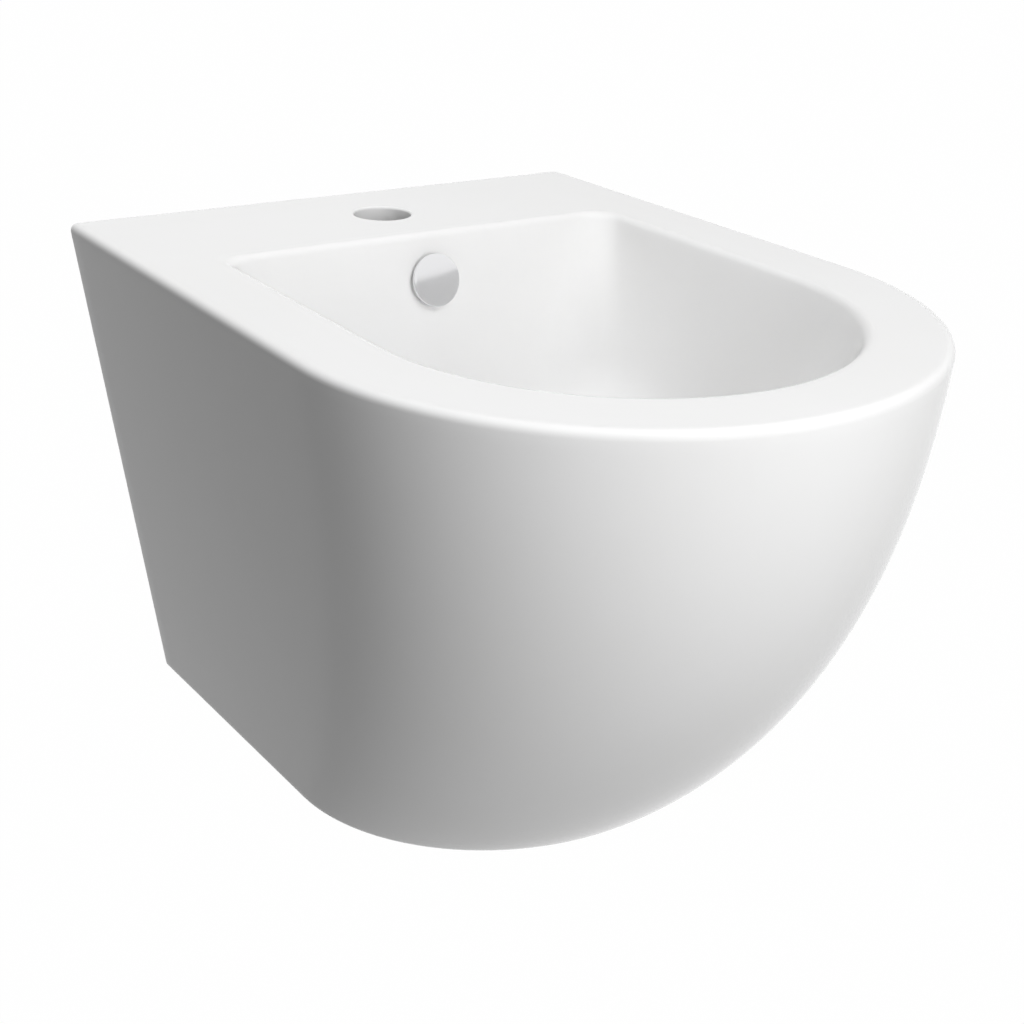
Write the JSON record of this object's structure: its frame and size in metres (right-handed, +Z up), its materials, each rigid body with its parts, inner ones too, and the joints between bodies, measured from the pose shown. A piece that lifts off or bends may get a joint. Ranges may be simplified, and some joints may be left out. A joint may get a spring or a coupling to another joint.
{
  "type": "wall-hung bidet",
  "caption": "Wall-hung bidet: rounded glazed ceramic body with an open bowl, tap hole, round overflow cover, click waste, bottle trap and wall studs.",
  "frame": {"origin": "midway between the two fixing studs, on the wall face", "axes": "+Y into the wall, so the bowl's front points along -Y; +Z up; +X to the right for a person who faces the wall"},
  "size_m": [0.3586, 0.51, 0.312],
  "materials": {
    "glazed_white": "glossy glaze",
    "chrome_plate": "polished",
    "black_rubber": "matt",
    "white_plastic": "satin",
    "plain_brass": "machined",
    "plated_steel": "bright zinc"
  },
  "bodies": {
    "bidet": {"ceramic_body": "glazed_white", "overflow_cover": "chrome_plate", "overflow_insert": "white_plastic", "overflow_gasket": "black_rubber", "waste_body": "chrome_plate", "flange_gasket": "black_rubber", "land_gasket": "black_rubber", "slip_washer": "white_plastic", "waste_locknut": "plain_brass", "click_cartridge": "plain_brass", "trap_washer": "black_rubber", "trap_inlet_tube": "white_plastic", "trap_inlet_nut": "white_plastic", "trap_neck_nut": "white_plastic", "trap_neck_seal": "black_rubber", "trap_bottle": "white_plastic", "trap_cup": "white_plastic", "trap_cup_seal": "black_rubber", "outlet_pipe": "white_plastic", "outlet_seal": "black_rubber", "outlet_nut": "white_plastic", "wall_rosette": "white_plastic", "fixing_studs": "plated_steel", "fixing_bushes": "white_plastic", "fixing_washers": "plated_steel", "fixing_nuts": "plated_steel"},
    "plug": {"waste_plug": "chrome_plate", "plug_seal": "black_rubber", "plug_piston": "plated_steel"}
  },
  "joints": [
    {"name": "plug_slide", "type": "slide", "parent": "bidet", "child": "plug", "axis": [0, 0, 1], "range_m": [-0.008, 0]}
  ]
}
